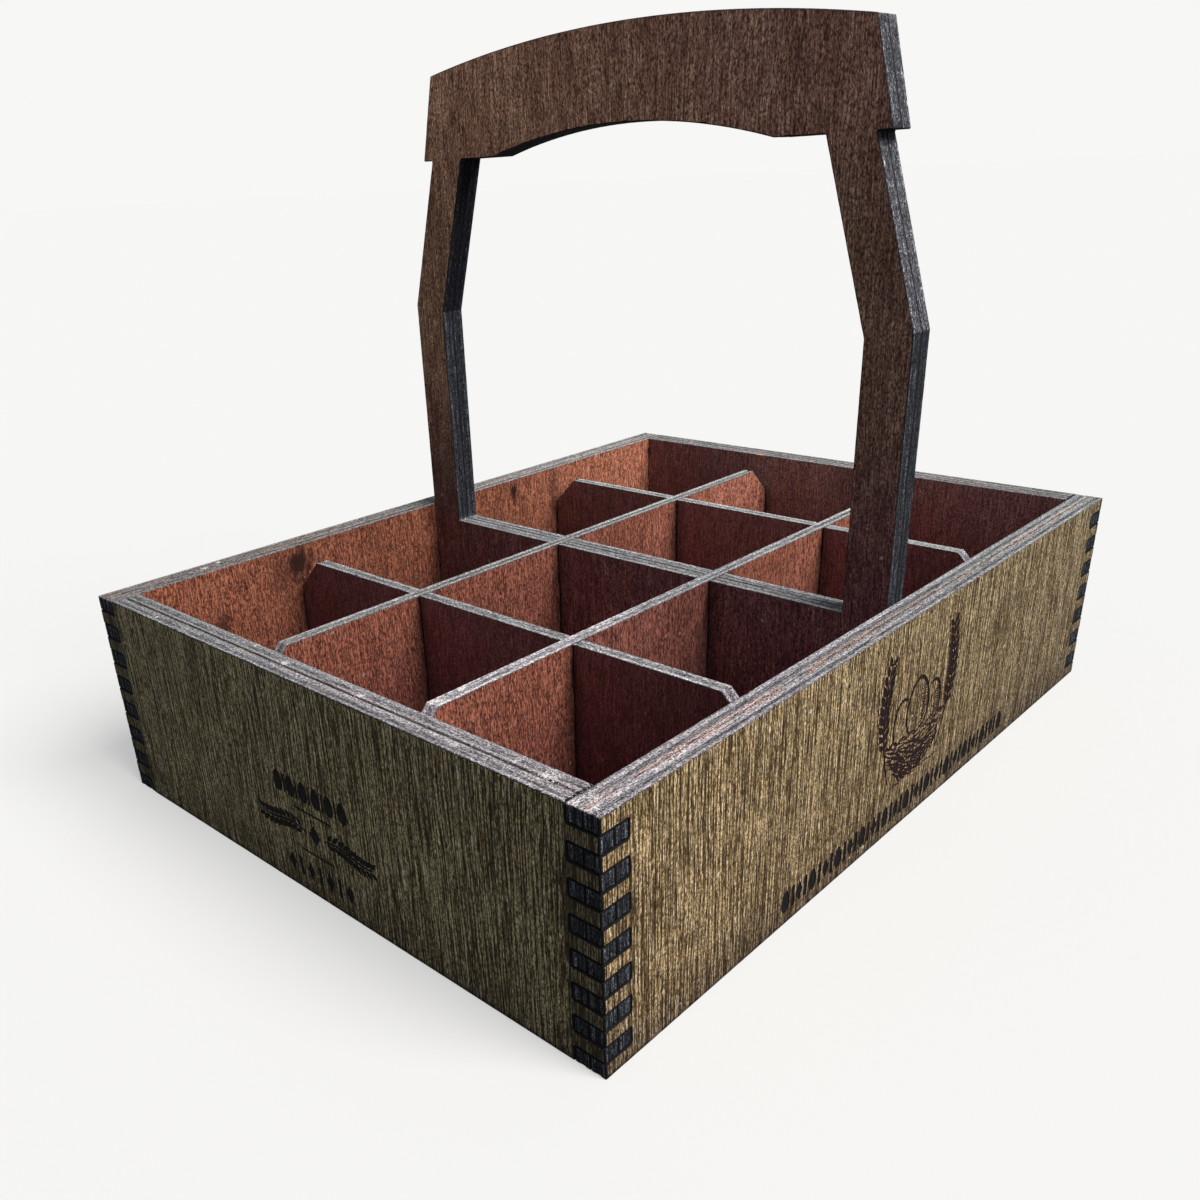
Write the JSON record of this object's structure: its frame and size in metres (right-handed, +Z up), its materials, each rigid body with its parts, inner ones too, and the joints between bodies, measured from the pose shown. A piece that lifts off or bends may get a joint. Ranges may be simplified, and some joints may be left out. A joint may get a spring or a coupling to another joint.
{
  "type": "egg carrier crate",
  "caption": "Low rectangular plywood tray with finger-jointed corners, a halved divider grid of square egg cells and a fixed arched handle across its middle.",
  "frame": {"origin": "middle of the underside of the crate, on the surface it stands on", "axes": "+X along the long side, +Y across the crate along the handle's bar, +Z up; the decorated long wall faces -Y"},
  "size_m": [0.244, 0.183, 0.1924],
  "materials": {
    "outside_stain": "olive-brown stained open-grain plywood, matt",
    "inside_stain": "red mahogany stained plywood, matt",
    "base_ply": "red mahogany stained plywood above, matt",
    "handle_stain": "dark walnut stained plywood with charred edges, matt",
    "divider_stain": "red mahogany stained plywood with charred edges, matt"
  },
  "bodies": {
    "crate": {"front_wall_outer": "outside_stain", "front_wall_inner": "inside_stain", "back_wall_inner": "inside_stain", "back_wall_outer": "outside_stain", "left_wall_outer": "outside_stain", "left_wall_inner": "inside_stain", "right_wall_inner": "inside_stain", "right_wall_outer": "outside_stain", "base_panel": "base_ply", "handle_plate_left": "handle_stain", "handle_plate_right": "handle_stain"},
    "cross_dividers": {"cross_divider_left": "divider_stain", "cross_divider_right": "divider_stain"},
    "front_divider": {"long_divider_front": "divider_stain"},
    "back_divider": {"long_divider_back": "divider_stain"}
  },
  "joints": [
    {"name": "grid_lift", "type": "slide", "parent": "crate", "child": "cross_dividers", "axis": [0, 0, 1], "range_m": [0, 0.055]},
    {"name": "front_divider_lift", "type": "slide", "parent": "cross_dividers", "child": "front_divider", "axis": [0, 0, 1], "range_m": [0, 0.0562]},
    {"name": "back_divider_lift", "type": "slide", "parent": "cross_dividers", "child": "back_divider", "axis": [0, 0, 1], "range_m": [0, 0.0562]}
  ]
}
